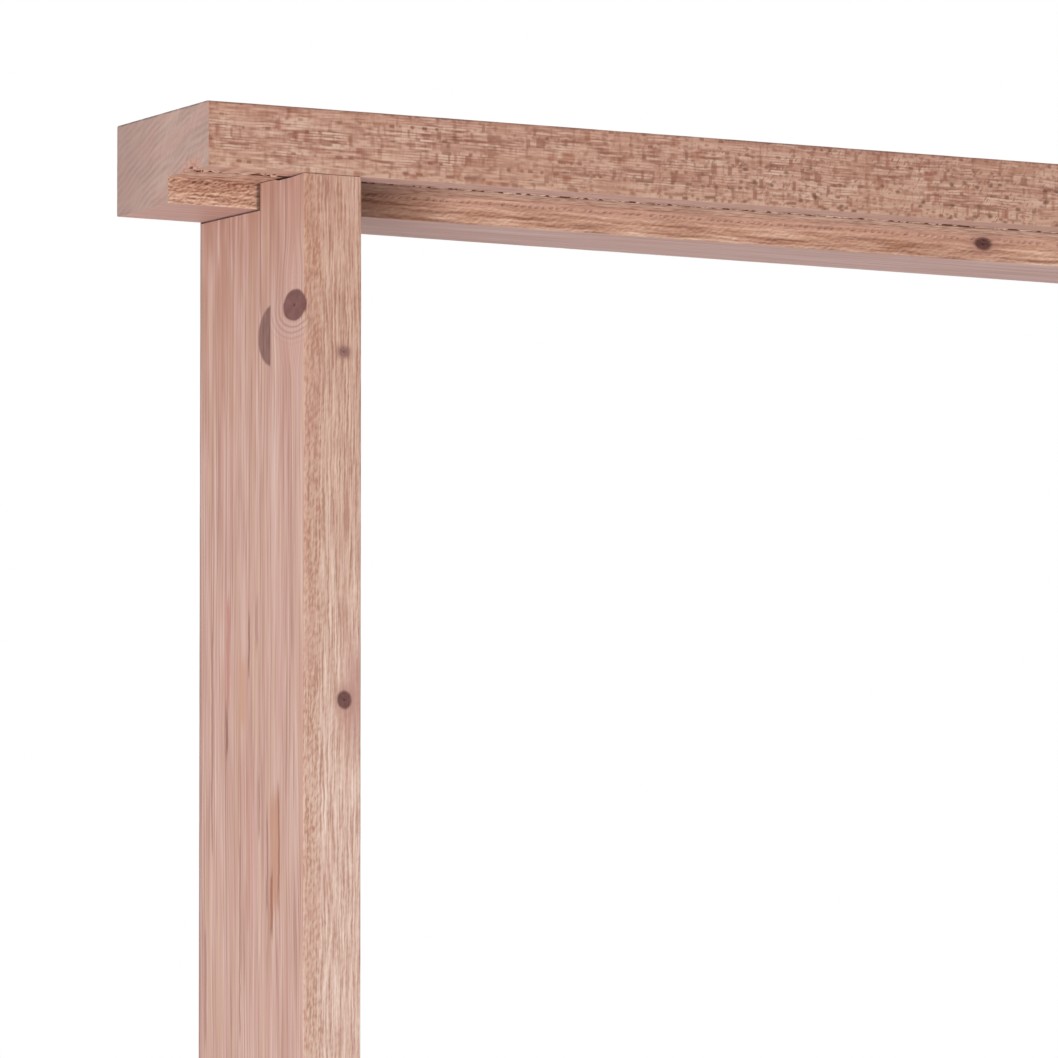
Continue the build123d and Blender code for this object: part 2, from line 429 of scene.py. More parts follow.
class WoodShop:
    """Lays nodes for one wood finish. Lengths in the recipes are millimetres along the frame's axes, and
    colours are written as they look on a screen."""

    def __init__(self, name):
        self.material = bpy.data.materials.new(name)
        self.material.use_nodes = True
        self.tree = self.material.node_tree
        self.shader = self.tree.nodes["Principled BSDF"]
        spot = self.lay("ShaderNodeTexCoord", output="Object")
        self.place = self.vector("MULTIPLY", spot, (1 / MM, 1 / MM, 1 / MM))
        self.x, self.y, self.z = self.split(self.place)

    def lay(self, kind, feeds=None, output=0, **settings):
        return lay_node(self.tree, kind, feeds, **settings).outputs[output]

    def vector(self, operation, a, b=None):
        output = "Value" if operation == "LENGTH" else 0
        return self.lay("ShaderNodeVectorMath", {0: a, 1: b}, output, operation=operation)

    def math(self, operation, a, b=None):
        return self.lay("ShaderNodeMath", {0: a, 1: b}, operation=operation)

    def plus(self, *terms):
        """Sum of the terms, each a value or a (value, factor) pair."""
        total = None
        for term in terms:
            if isinstance(term, tuple):
                term = self.math("MULTIPLY", *term)
            total = term if total is None else self.math("ADD", total, term)
        return total

    def times(self, *factors):
        product = factors[0]
        for factor in factors[1:]:
            product = self.math("MULTIPLY", product, factor)
        return product

    def split(self, vector):
        return tuple(lay_node(self.tree, "ShaderNodeSeparateXYZ", {0: vector}).outputs)

    def join(self, x, y, z):
        return self.lay("ShaderNodeCombineXYZ", {0: x, 1: y, 2: z})

    def turn(self, vector, axis, degrees):
        feeds = {"Vector": vector, "Angle": math.radians(degrees)}
        return self.lay("ShaderNodeVectorRotate", feeds, rotation_type=axis + "_AXIS")

    def noise(self, sizes, detail=2.0, roughness=0.5, at=None):
        """Smooth noise whose patches measure about sizes millimetres along X, Y and Z."""
        spot = self.vector("DIVIDE", self.place if at is None else at, sizes)
        return self.lay("ShaderNodeTexNoise", {
            "Vector": spot, "Scale": 1.0, "Detail": detail, "Roughness": roughness,
        })

    def away_from(self, centre, radii, at=None):
        """Vector from a centre to each place, in units of the radii."""
        off = self.vector("SUBTRACT", self.place if at is None else at, centre)
        return self.vector("DIVIDE", off, radii)

    def scattered_middles(self, sizes):
        """Middle of the nearest of the spots that lie scattered, one to a cell of these sizes."""
        feeds = {"Vector": self.vector("DIVIDE", self.place, sizes), "Scale": 1.0}
        return self.vector("MULTIPLY", self.lay("ShaderNodeTexVoronoi", feeds, "Position"), sizes)

    def dots(self, x, z, sizes, chance, radius):
        """Dots over a front face, each in a cell of these sizes with this chance. Its radius is in cells."""
        feeds = {"Vector": self.vector("DIVIDE", self.join(x, z, 0.0), sizes + (1.0,)), "Scale": 1.0}
        cell = lay_node(self.tree, "ShaderNodeTexVoronoi", feeds, voronoi_dimensions="2D").outputs
        lot = self.split(cell["Color"])[0]
        inside = self.span(cell["Distance"], radius * 1.6, radius * 0.5)
        return self.times(inside, self.span(lot, chance + LOT_EDGE, chance - LOT_EDGE))

    def span(self, value, low, high, to_low=0.0, to_high=1.0, smooth=False):
        """Runs from to_low to to_high while the value runs from low to high, and stays level beyond."""
        return self.lay("ShaderNodeMapRange", {
            "Value": value, "From Min": low, "From Max": high, "To Min": to_low, "To Max": to_high,
        }, interpolation_type="SMOOTHSTEP" if smooth else "LINEAR")

    def tones(self, value, stops):
        """Colours that follow the value, from stops of a value and a colour each."""
        node = lay_node(self.tree, "ShaderNodeValToRGB", {0: value})
        ramp = node.color_ramp
        while len(ramp.elements) < len(stops):
            ramp.elements.new(0.5)
        for element, (position, colour) in zip(ramp.elements, stops):
            element.position = position
            element.color = shade(colour)
        return node.outputs[0]

    def blend(self, amount, under, over, mode="MIX"):
        """Lays one colour over another by this amount."""
        under, over = (shade(c) if isinstance(c, tuple) else c for c in (under, over))
        feeds = {0: amount, 6: under, 7: over}
        return self.lay("ShaderNodeMix", feeds, 2, data_type="RGBA", blend_type=mode)

    def finish(self, colour, height, depth_mm, roughness, sheen=SHEEN):
        """Ends the finish: its colour, a relief of this depth in millimetres, roughness and sheen."""
        bump = self.lay("ShaderNodeBump", {"Strength": 1.0, "Distance": depth_mm * MM, "Height": height})
        for name, value in (
            ("Base Color", colour), ("Roughness", roughness), ("Specular IOR Level", sheen), ("Normal", bump),
        ):
            feed(self.tree, self.shader.inputs[name], value)
        return self.material


def shade(colour):
    """A colour written as it looks on a screen, 0 to 255, as the linear values that shaders take."""
    return tuple(((c / 255 + 0.055) / 1.055) ** 2.4 if c > 10 else c / 3295 for c in colour) + (1.0,)


def growth_rings(shop, along, pith, spacing, wander):
    """0 in the pale early wood to 1 at the dark late-wood line of each ring round the pith.
    pith is a point on the tree's centre line, in millimetres, and along names the grain's axis."""
    flat = {"X": (0.0, 1.0, 1.0), "Z": (1.0, 1.0, 0.0)}[along]
    slow = {"X": (260.0, 22.0, 22.0), "Z": (22.0, 22.0, 260.0)}[along]
    waver = shop.noise(slow, 3.0)
    off = shop.vector("MULTIPLY", shop.vector("SUBTRACT", shop.place, pith), flat)
    phase = shop.plus((shop.vector("LENGTH", off), 1 / spacing), (waver, wander))
    return shop.math("FRACT", phase)


def cut_knot(shop, colour, height, away, heart, soft=0.1, rings=0.0, ring_side=None):
    """A cut branch: dark heart with a pith dot, a rim, and rings of wood grown round it.
    away is the vector from its centre in units of its radii, soft the share of them that its edge takes."""
    ragged = shop.noise((0.9, 0.9, 0.9), at=away)
    distance = shop.plus(shop.vector("LENGTH", away), (ragged, 0.14), -0.07)
    if rings:
        waver = shop.noise((6.0, 6.0, 6.0))
        wave = shop.math("SINE", shop.plus((distance, 18.0), (waver, 3.0)))
        fade = shop.times(shop.span(distance, 1.05, 1.25), shop.span(distance, 2.7, 1.5, 0.0, rings))
        if ring_side is not None:
            fade = shop.times(fade, ring_side)
        colour = shop.blend(shop.times(fade, 0.6), colour, (210, 174, 162))
        colour = shop.blend(shop.times(shop.span(wave, -0.4, 1.0), fade), colour, (164, 122, 112))
    else:
        halo = shop.span(distance, 2.6, 1.0, 0.0, 0.4, smooth=True)
        colour = shop.blend(halo, colour, (178, 132, 122))
    grain = shop.noise((0.5, 0.5, 0.5), 2.0, at=away)
    dark = tuple(0.94 * c for c in heart)
    pale = tuple(1.06 * c for c in heart)
    face = shop.tones(grain, [(0.35, dark), (0.65, pale)])
    face = shop.blend(shop.span(distance, 0.75, 0.97, 0.0, 0.35), face, tuple(0.86 * c for c in heart))
    colour = shop.blend(shop.span(distance, 1.0 + soft, 1.0 - soft, smooth=True), colour, face)
    dot = shop.span(distance, 0.15, 0.06)
    colour = shop.blend(shop.times(dot, 0.8), colour, (68, 36, 34))
    return colour, shop.plus(height, (dot, -0.5), (shop.span(distance, 1.05, 0.95), 0.2))


def named_knot(shop, colour, height, centre, radii, heart, soft=0.1, rings=0.0, ring_side=None):
    """One knot, at a place of its own."""
    return cut_knot(shop, colour, height, shop.away_from(centre, radii), heart, soft, rings, ring_side)


def scattered_knots(shop, colour, height, spacing, radius, where):
    """Knots here and there on the lengths that the photo doesn't show."""
    away = shop.away_from(shop.scattered_middles(spacing), (radius, radius, radius))
    knotted, dented = cut_knot(shop, colour, height, away, (128, 90, 83), 0.15, 0.4)
    blended = shop.blend(where, colour, knotted)
    return blended, shop.plus(height, (shop.plus(dented, (height, -1.0)), where))


PHOTO_RIGHT = -35.0  # the photo ends about here along the head, in millimetres
PHOTO_FOOT = 1570.0  # and about here down the left jamb
ROW_HEIGHT = 5.3  # of the upright bars on the head's front
ROW_START = 0.9  # shifts the rows, so that one ends 10.4 mm under the head's top
LINE_PITCH = 1.25  # of the fine ruled lines
LEDGE_FOLD = 0.15  # how much slower a front pattern runs on round the arris, over the ledge
REBATE_FOLD = 0.30  # the same for the rebate's pattern
FLECK_PITCH = 3.6  # of the slanting flecks along the top of the rebate's face
# splinters lifted out of the kerf's edges on the left horn: middle, width and length, and how strong the
# painted shade inside is
TEAR_OUTS = (
    (-495.0, -29.4, 2.6, 5.0, 0.95), (-490.8, -34.0, 2.0, 4.0, 0.3), (-485.4, -32.0, 3.2, 4.0, 0.45),
    (-468.2, -34.6, 2.4, 5.0, 0.95), (-464.8, -35.0, 1.8, 4.0, 0.9), (-460.6, -35.4, 2.6, 5.0, 0.95),
)
TEAR_DEPTH = 2 * MM
HOLE_SHADE = (66, 38, 32)
RING_TILT = 18.0  # degrees by which the rings lie askew on the horn's end
# sides of the timbers in millimetres, as the finishes use them
front_mm = front_y / MM
rebate_mm = rebate_y / MM
back_mm = head_high[1] / MM
ledge_mm = ledge_z / MM
top_mm = head_high[2] / MM
jamb_mm = jamb_x / MM


def tear_out_shade(shop, colour):
    """Painted shade on the ledge, in the holes where splinters have come out beside the kerf."""
    flat = shop.join(shop.x, shop.y, 0.0)
    ragged = shop.noise((1.6, 3.0, 60.0), 1.0)
    for x, y, width, length, dark in TEAR_OUTS:
        off = shop.away_from((x, y, 0.0), (width / 2, length / 2, 1.0), flat)
        away = shop.plus(shop.vector("LENGTH", off), (ragged, 0.8), -0.4)
        colour = shop.blend(shop.span(away, 1.3, 0.7, 0.0, dark), colour, HOLE_SHADE)
    return colour


def head_front_finish():
    """Rough front edge: fine ruled lines in short lengths, upright bars in rows, hooks and dark pin holes."""
    shop = WoodShop("head_front_wood")
    x, y, z = shop.x, shop.y, shop.z
    folded = shop.plus(z, (shop.plus(y, -front_mm), -LEDGE_FOLD))
    small = shop.noise((9.0, 60.0, 6.0), 1.0)
    large = shop.noise((40.0, 60.0, 20.0), 1.0)
    curl = shop.times(shop.plus((small, 1.7), (large, 4.0)), shop.span(x, -360.0, -150.0, 0.25, 0.75))
    level = shop.plus(folded, curl)
    bent = shop.join(x, y, level)

    # ruled lines in short lengths, over threads and a fine weave
    ruled = shop.math("DIVIDE", level, LINE_PITCH)
    from_rule = shop.math("PINGPONG", ruled, 0.5)
    on_line = shop.join(x, 0.0, shop.times(shop.math("FLOOR", ruled), 3.7))
    lengths = shop.noise((16.0, 1.0, 1.0), 3.0, at=on_line)
    line = shop.times(shop.plus(lengths, -0.5), shop.span(from_rule, 0.0, 0.32))
    line = shop.times(line, shop.span(x, -380.0, -200.0, 1.0, 0.8))
    scored = shop.span(shop.noise((16.0, 60.0, 5.0), 1.0), 0.42, 0.58)
    groove = shop.times(shop.span(from_rule, 0.20, 0.04), scored)
    fine = shop.noise((6.5, 60.0, 0.9), 2.0, at=bent)
    threads = shop.noise((55.0, 60.0, 1.7), 3.0, at=bent)
    weave = shop.noise((1.0, 60.0, 3.4), 1.0, at=bent)
    mixed = shop.plus((line, 1.25), (groove, -0.13), (fine, 0.24), (threads, 0.42), (weave, 0.14), 0.13)
    colour = shop.tones(mixed, [
        (0.36, (148, 100, 84)), (0.44, (174, 128, 110)), (0.50, (191, 148, 129)),
        (0.56, (207, 167, 148)), (0.66, (219, 185, 165)),
    ])

    # plain cloudy patches, a creamy band at the bottom, a redder one at the top
    cloud = shop.noise((16.0, 60.0, 8.0), 1.0)
    colour = shop.blend(shop.span(cloud, 0.42, 0.64, 0.0, 0.5), colour, (197, 153, 133))
    colour = shop.blend(shop.span(z, ledge_mm + 6.5, ledge_mm + 1.5, 0.0, 0.35), colour, (222, 184, 160))
    colour = shop.blend(shop.span(z, top_mm - 9.0, top_mm - 2.0, 0.0, 0.25), colour, (184, 130, 116))

    # upright bars, in rows
    rows = shop.math("DIVIDE", shop.plus(level, -ROW_START), ROW_HEIGHT)
    inside = shop.math("PINGPONG", rows, 0.5)
    in_row = shop.join(x, 0.0, shop.times(shop.math("FLOOR", rows), 7.3))
    bars = shop.span(shop.noise((5.2, 1.0, 1.0), 1.0, at=in_row), 0.55, 0.66)
    patch = shop.span(shop.noise((26.0, 60.0, 8.0), 1.0), 0.40, 0.54)
    bars = shop.times(bars, shop.span(inside, 0.02, 0.12), patch)
    colour = shop.blend(shop.times(bars, 0.8), colour, (212, 178, 166), "MULTIPLY")
    # thin dark uprights inside the rows, and dark dashes where two rows meet
    ticks = shop.span(shop.noise((3.0, 1.0, 1.0), 0.0, at=in_row), 0.58, 0.67)
    ticked = shop.span(shop.noise((24.0, 60.0, 9.0), 1.0), 0.38, 0.52)
    ticks = shop.times(ticks, shop.span(inside, 0.05, 0.15), ticked, shop.span(x, -470.0, -370.0, 0.3, 1.0))
    colour = shop.blend(shop.times(ticks, 0.68), colour, (142, 90, 75))
    meeting = shop.join(x, 0.0, shop.times(shop.math("FLOOR", shop.plus(rows, 0.5)), 5.9))
    dashes = shop.span(shop.noise((3.4, 1.0, 1.0), 0.0, at=meeting), 0.52, 0.62)
    dashed_here = shop.span(shop.noise((38.0, 1.0, 1.0), 1.0, at=meeting), 0.42, 0.56, 0.1, 1.0)
    dashes = shop.times(dashes, shop.span(inside, 0.19, 0.08), dashed_here)
    colour = shop.blend(shop.times(dashes, 0.8), colour, (128, 76, 61))

    # slanting hooks, small specks and dark pin holes
    steep = shop.turn(shop.place, "Y", 52.0)
    hooks = shop.span(shop.noise((3.4, 60.0, 1.0), 1.0, at=steep), 0.62, 0.70)
    hooks = shop.times(hooks, shop.span(x, -330.0, -220.0, 0.15, 0.85))
    colour = shop.blend(hooks, colour, (150, 103, 86))
    specks = shop.times(shop.dots(x, level, (3.6, 1.9), 0.30, 0.32), shop.span(x, -440.0, -300.0, 0.4, 1.0))
    colour = shop.blend(shop.times(specks, 0.65), colour, (146, 99, 83))
    pins = shop.times(
        shop.dots(x, level, (7.4, 5.3), 0.38, 0.15),
        shop.span(x, -400.0, -180.0, 0.3, 1.0), shop.span(z, top_mm - 8.0, top_mm - 13.0, 0.15, 1.0),
    )
    colour = shop.blend(shop.times(pins, 0.75), colour, (98, 60, 48))

    # painted shade along the top arris, which turns away from the light, uneven along its length
    arris_shade_patches = shop.span(shop.noise((7.0, 9.0, 9.0), 2.0), 0.35, 0.60, 0.15, 0.9)
    top_arris_shade = shop.times(shop.span(z, top_mm - 1.2, top_mm - 0.3), arris_shade_patches)
    colour = shop.blend(top_arris_shade, colour, (118, 84, 82))
    tint = shop.noise((60.0, 60.0, 14.0), 1.0)
    colour = shop.blend(shop.span(tint, 0.35, 0.65, 0.0, 0.25), colour, (192, 146, 118))
    # painted light: the downward-facing ledge on the horns is painted paler, as if lit from below
    on_ledge = shop.span(z, ledge_mm + 0.6, ledge_mm + 0.1)
    colour = shop.blend(shop.times(on_ledge, 0.35), colour, (232, 188, 170))
    # painted shade in the tear-out holes
    colour = tear_out_shade(shop, colour)
    height = shop.plus(mixed, (bars, -0.15), (dashes, -0.2), (pins, -0.6))
    return shop.finish(colour, height, 0.4, shop.span(mixed, 0.35, 0.65, 0.72, 0.60))


def rebate_finish():
    """Stop's front face in the rebate and the ledge behind the kerf: long level lines, crossed by short
    slanting tool strokes."""
    shop = WoodShop("rebate_wood")
    x, y, z = shop.x, shop.y, shop.z
    folded = shop.plus(z, (shop.plus(y, -rebate_mm), -REBATE_FOLD))
    small = shop.noise((8.0, 60.0, 8.0), 1.0)
    large = shop.noise((45.0, 60.0, 20.0), 1.0)
    bent = shop.join(x, y, shop.plus(folded, (small, 0.9), (large, 1.2)))
    lines = shop.noise((24.0, 60.0, 1.35), 2.0, at=bent)
    long = shop.noise((70.0, 60.0, 2.2), 1.0, at=bent)
    slant = shop.turn(bent, "Y", 13.0)
    lit_from = shop.vector("ADD", slant, (0.0, 0.0, 0.7))
    strokes = shop.noise((2.8, 60.0, 1.2), 1.0, at=slant)
    upper = shop.noise((2.8, 60.0, 1.2), 1.0, at=lit_from)
    relief = shop.plus(strokes, (upper, -1.0))
    crossed = shop.span(x, -456.0, -446.0, 1.0, 0.45)
    tooled = shop.times(shop.plus((strokes, 0.26), -0.13, (relief, 0.30)), crossed)
    mixed = shop.plus((lines, 0.50), (long, 0.34), tooled, 0.08)
    colour = shop.tones(mixed, [
        (0.36, (152, 108, 89)), (0.44, (184, 141, 120)), (0.50, (203, 161, 140)),
        (0.56, (219, 179, 157)), (0.65, (240, 210, 187)),
    ])
    orange = shop.span(shop.noise((22.0, 60.0, 7.0), 1.0), 0.45, 0.70)
    colour = shop.blend(shop.times(orange, 0.22), colour, (192, 142, 104))
    on_ledge = shop.span(y, rebate_mm - 0.5, rebate_mm - 3.0)
    fine_spots = shop.noise((5.0, 2.4, 60.0), 1.0)
    long_spots = shop.noise((24.0, 4.0, 60.0), 1.0)
    mottle = shop.plus((fine_spots, 0.6), (long_spots, 0.4))
    ledge_tone = shop.tones(mottle, [
        (0.38, (152, 106, 88)), (0.46, (198, 154, 136)), (0.54, (224, 184, 165)), (0.64, (240, 206, 188)),
    ])
    colour = shop.blend(shop.times(on_ledge, 0.7), colour, ledge_tone)
    # paler up to the ledge, and painted shade in the corner behind the jamb's step and on the face beside it
    near_top = shop.span(z, ledge_mm - 6.5, ledge_mm - 1.0, 0.0, 0.5)
    near_top = shop.times(near_top, shop.span(x, -390.0, -340.0), shop.plus(1.0, (on_ledge, -1.0)))
    colour = shop.blend(near_top, colour, (222, 182, 164))
    corner_shade = shop.times(shop.span(x, -345.0, -409.0), shop.span(x, -jamb_mm - 1.0, -jamb_mm + 1.0))
    colour = shop.blend(shop.times(corner_shade, 0.72), colour, (118, 75, 58))
    # a patchy darker brown band on the ledge along the kerf, between the jambs
    specks = shop.noise((6.0, 2.0, 60.0), 2.0)
    patchy_darkening = shop.times(shop.span(specks, 0.46, 0.58), shop.span(y, -24.5, -28.0), shop.span(y, -30.2, -29.7))
    patchy_darkening = shop.times(patchy_darkening, shop.span(x, -420.0, -410.0))
    colour = shop.blend(shop.times(patchy_darkening, 0.6), colour, (128, 82, 64))
    # painted shade in the tear-out holes
    colour = tear_out_shade(shop, colour)
    height = mixed
    for centre, radii in (((-65.6, -6.0, 1986.2), (4.6, 6.0, 3.0)), ((262.0, -6.0, 1984.0), (5.2, 6.0, 3.6))):
        colour, height = named_knot(shop, colour, height, centre, radii, (104, 70, 66), 0.3)

    # a row of slanting flecks along the top, clearest on the horns
    across = shop.plus((x, 1 / FLECK_PITCH), (z, -0.35))
    shake = shop.noise((6.0, 60.0, 2.0), 1.0)
    fleck = shop.span(shop.math("PINGPONG", shop.plus(across, (shake, 0.5)), 0.5), 0.24, 0.36)
    chosen = shop.span(shop.noise((5.5, 60.0, 60.0), 1.0), 0.38, 0.50)
    fleck = shop.times(
        fleck, chosen, shop.span(z, ledge_mm - 2.4, ledge_mm - 1.8),
        shop.span(z, ledge_mm - 0.6, ledge_mm - 1.1), shop.span(y, rebate_mm - 0.8, rebate_mm - 0.3),
    )
    strength = shop.span(x, -475.0, -450.0, 0.7, 0.2)
    colour = shop.blend(shop.times(fleck, strength), colour, (128, 82, 65))
    return shop.finish(colour, shop.plus(height, (fleck, -0.5)), 0.8, 0.62)


def ledge_finish():
    """Ledge of the rebate between the front edge and the kerf: a smooth strip, pinker than the rest."""
    shop = WoodShop("ledge_wood")
    lines = shop.noise((22.0, 3.2, 60.0), 2.0)
    fine = shop.noise((6.0, 1.6, 60.0), 2.0)
    mixed = shop.plus((lines, 0.6), (fine, 0.4))
    colour = shop.tones(mixed, [(0.36, (192, 147, 135)), (0.50, (207, 165, 152)), (0.64, (219, 180, 167))])
    colour = shop.blend(shop.span(shop.x, -280.0, -60.0, 0.0, 0.45), colour, (194, 148, 126))
    # a patchy darker brown band along the kerf's front edge
    specks = shop.noise((6.0, 2.0, 60.0), 2.0)
    patchy_darkening = shop.times(shop.span(specks, 0.42, 0.56), shop.span(shop.y, -36.5, -34.4))
    colour = shop.blend(shop.times(patchy_darkening, 0.7), colour, (124, 82, 66))
    return shop.finish(colour, mixed, 0.3, 0.6)


def cut_finish():
    """Faces left by saw and chisel inside the joints and the kerf: dull and a little furry, and painted dark
    brown as the shade in these gaps.
    """
    shop = WoodShop("cut_wood")
    fur = shop.noise((1.5, 1.5, 1.5), 3.0, 0.6)
    colour = shop.tones(fur, [(0.35, (98, 58, 42)), (0.65, (144, 94, 72))])
    return shop.finish(colour, fur, 0.2, 1.0, sheen=0.0)


def head_planed_finish():
    """Planed faces of the head: pinkish, with faint long streaks where the rings come up."""
    shop = WoodShop("head_planed_wood")
    rings = growth_rings(shop, "X", (0.0, -81.0, 1797.0), 4.3, 1.6)
    streaks = shop.noise((90.0, 2.2, 2.2), 4.0, 0.62)
    colour = shop.tones(streaks, [
        (0.36, (186, 147, 138)), (0.50, (203, 165, 156)), (0.64, (215, 182, 173)),
    ])
    colour = shop.blend(shop.span(rings, 0.72, 0.97, 0.0, 0.25), colour, (178, 134, 122))
    pink = shop.noise((50.0, 8.0, 8.0), 2.0)
    colour = shop.blend(shop.span(pink, 0.52, 0.70, 0.0, 0.4), colour, (208, 156, 148))
    horn_side = shop.times(shop.span(shop.x, -430.0, -470.0), 0.3)
    colour = shop.blend(horn_side, colour, (214, 158, 138))
    height = streaks
    colour, height = scattered_knots(shop, colour, height, (230.0, 90.0, 90.0), 7.0, 1.0)
    return shop.finish(colour, height, 0.12, shop.span(streaks, 0.3, 0.7, 0.60, 0.48))


def end_grain_finish(name, along, pith, kerf_at=None):
    """Sawn ends: soft rings of one tree run straight across, under faint saw scratches."""
    shop = WoodShop(name)
    rings = growth_rings(shop, along, pith, 3.3, 2.4)
    clarity = shop.span(shop.noise((20.0, 20.0, 20.0), 2.0), 0.36, 0.62, 0.15, 1.0)
    late = shop.times(
        shop.span(rings, 0.15, 0.75, smooth=True), shop.span(rings, 1.0, 0.78, smooth=True), clarity,
    )
    colour = shop.blend(late, (191, 161, 150), (170, 138, 129))
    lie = shop.turn(shop.place, "X", RING_TILT) if along == "X" else shop.place
    for size, low, high, amount, tone in (
        ((16.0, 30.0, 9.0), 0.42, 0.62, 0.45, (198, 155, 146)),
        ((9.0, 24.0, 4.0), 0.46, 0.66, 0.50, (172, 144, 132)),
        ((13.0, 26.0, 6.0), 0.50, 0.68, 0.40, (207, 177, 164)),
    ):
        cloud = shop.noise(size, 2.0, at=shop.vector("ADD", lie, (amount * 900, 0.0, amount * 300)))
        colour = shop.blend(shop.span(cloud, low, high, 0.0, amount), colour, tone)
    pores = shop.noise((0.9, 0.9, 0.9), 2.0, 0.6)
    colour = shop.blend(shop.span(pores, 0.5, 0.72, 0.0, 0.22), colour, (150, 118, 110))
    scratches = shop.noise((9.0, 12.0, 0.7), 2.0, 0.6, at=shop.turn(shop.place, along, 62.0))
    colour = shop.blend(shop.span(scratches, 0.46, 0.70, 0.0, 0.22), colour, (214, 188, 178))
    height = shop.plus((scratches, 0.25), (rings, 0.1))
    if kerf_at:
        colour = shop.blend(shop.span(shop.y, 0.0, 40.0, 0.0, 0.42), colour, (158, 130, 123))
        # fibres torn out of the kerf's mouth round kerf_at, painted shade in that mouth, and painted shade
        # along the back and top edges
        off = shop.away_from(kerf_at, (6000.0, 10.5, 4.2))
        shreds = shop.noise((3.0, 3.0, 1.6), 2.0)
        torn = shop.span(shop.plus(shop.vector("LENGTH", off), (shreds, 0.9), -0.45), 1.25, 0.55)
        red = shop.tones(shreds, [(0.36, (184, 128, 108)), (0.50, (206, 152, 134)), (0.64, (216, 170, 152))])
        colour = shop.blend(shop.times(torn, 0.7), colour, red)
        # painted shade: a dark spot where the kerf's mouth would be, as the kerf is closed at the end
        spot = shop.away_from(kerf_at, (6000.0, 2.4, 0.7))
        spot = shop.span(shop.plus(shop.vector("LENGTH", spot), (shreds, 0.8), -0.4), 1.2, 0.7)
        colour = shop.blend(shop.times(spot, 0.85), colour, (92, 54, 46))
        # patchy painted shade along the back and top edges, which turn away from the light
        back_edge = shop.span(shop.y, back_mm - 1.1, back_mm - 0.3)
        edge = shop.math("MAXIMUM", back_edge, shop.span(shop.z, top_mm - 1.0, top_mm - 0.3))
        patchy_darkening = shop.span(shop.noise((5.0, 5.0, 5.0), 2.0), 0.35, 0.60, 0.25, 0.9)
        colour = shop.blend(shop.times(edge, patchy_darkening), colour, (104, 92, 92))
    return shop.finish(colour, height, 0.2, 0.8)


raised_grain = raised_grain_tree()
torn_fibres = torn_fibre_tree()
HEAD_PITH = (0.0, -107.0, 1670.0)  # millimetres; the rings on the horn's end are drawn round it
cut_wood = cut_finish()
head_finishes = [
    head_planed_finish(), head_front_finish(), rebate_finish(), ledge_finish(), cut_wood,
    end_grain_finish("head_end_grain", "X", HEAD_PITH, (0.0, -31.0, 1991.2)),
]
PLANED, FRONT, REBATE, LEDGE, CUT, END = range(6)
NEAR = 1.6 * MM  # a face this close to a plane belongs to that side of the timber
CLOSE = 0.5 * MM  # the same, where sides lie closer together
SLANT_REACH = 8 * MM  # the slanted end lies within this much of the head's furthest point


def head_side(centre, normal):
    """Finish of one face of the head, by where it lies and which way it faces."""
    x, y, z = centre
    kerf_front = front_y + KERF_SETBACK
    past_kerf = y - kerf_front - KERF_WIDTH
    if abs(normal.x) > 0.8 and (x < head_low[0] + SLANT_REACH or x > head_high[0] - NEAR):
        return END
    if normal.y < -0.3 and y < front_y + NEAR:
        return FRONT
    in_kerf = ledge_z + CLOSE / 2 < z < ledge_z + KERF_DEPTH + CLOSE and y < rebate_y - NEAR
    in_joint = rebate_y + 2 * CLOSE < y < head_high[1] - NEAR and abs(normal.y) > 0.5
    in_housing = head_low[2] + CLOSE / 2 < z < ledge_z - CLOSE / 2
    in_housing = in_housing and abs(normal.z) > 0.5 and y > rebate_y + NEAR
    if in_kerf or in_joint or in_housing or abs(normal.x) > 0.5:
        return CUT
    if abs(z - ledge_z) < CLOSE and normal.z < -0.3 and y < rebate_y:
        if past_kerf > -CLOSE:
            return REBATE
        return FRONT if abs(x) > jamb_x else LEDGE
    if normal.y < -0.5 and abs(y - rebate_y) < NEAR:
        return REBATE
    return PLANED


def across_head(u, v, x):
    """A point of the head's section, at x along it. The left end follows the slanted cut, and torn
    fibres close the kerf at both ends."""
    share = (x - head_low[0]) / (head_high[0] - head_low[0])
    in_kerf = v < REBATE_DEPTH + KERF_DEPTH + NEAR and u < front_y + KERF_SETBACK + KERF_WIDTH + NEAR
    if in_kerf and v > REBATE_DEPTH and u > front_y + KERF_SETBACK - NEAR:
        from_end = min(x - head_low[0], head_high[0] - x)
        v = REBATE_DEPTH + (v - REBATE_DEPTH) * min(1.0, from_end / KERF_DEPTH)
    return (x + (u + depth / 2) * HORN_SLANT * (1 - share), u, head_low[2] + v)


def stations_along(start, stop, spacing):
    """Places from start on, evenly spaced, up to but without stop."""
    count = max(1, round((stop - start) / spacing))
    return [start + (stop - start) * k / count for k in range(count)]


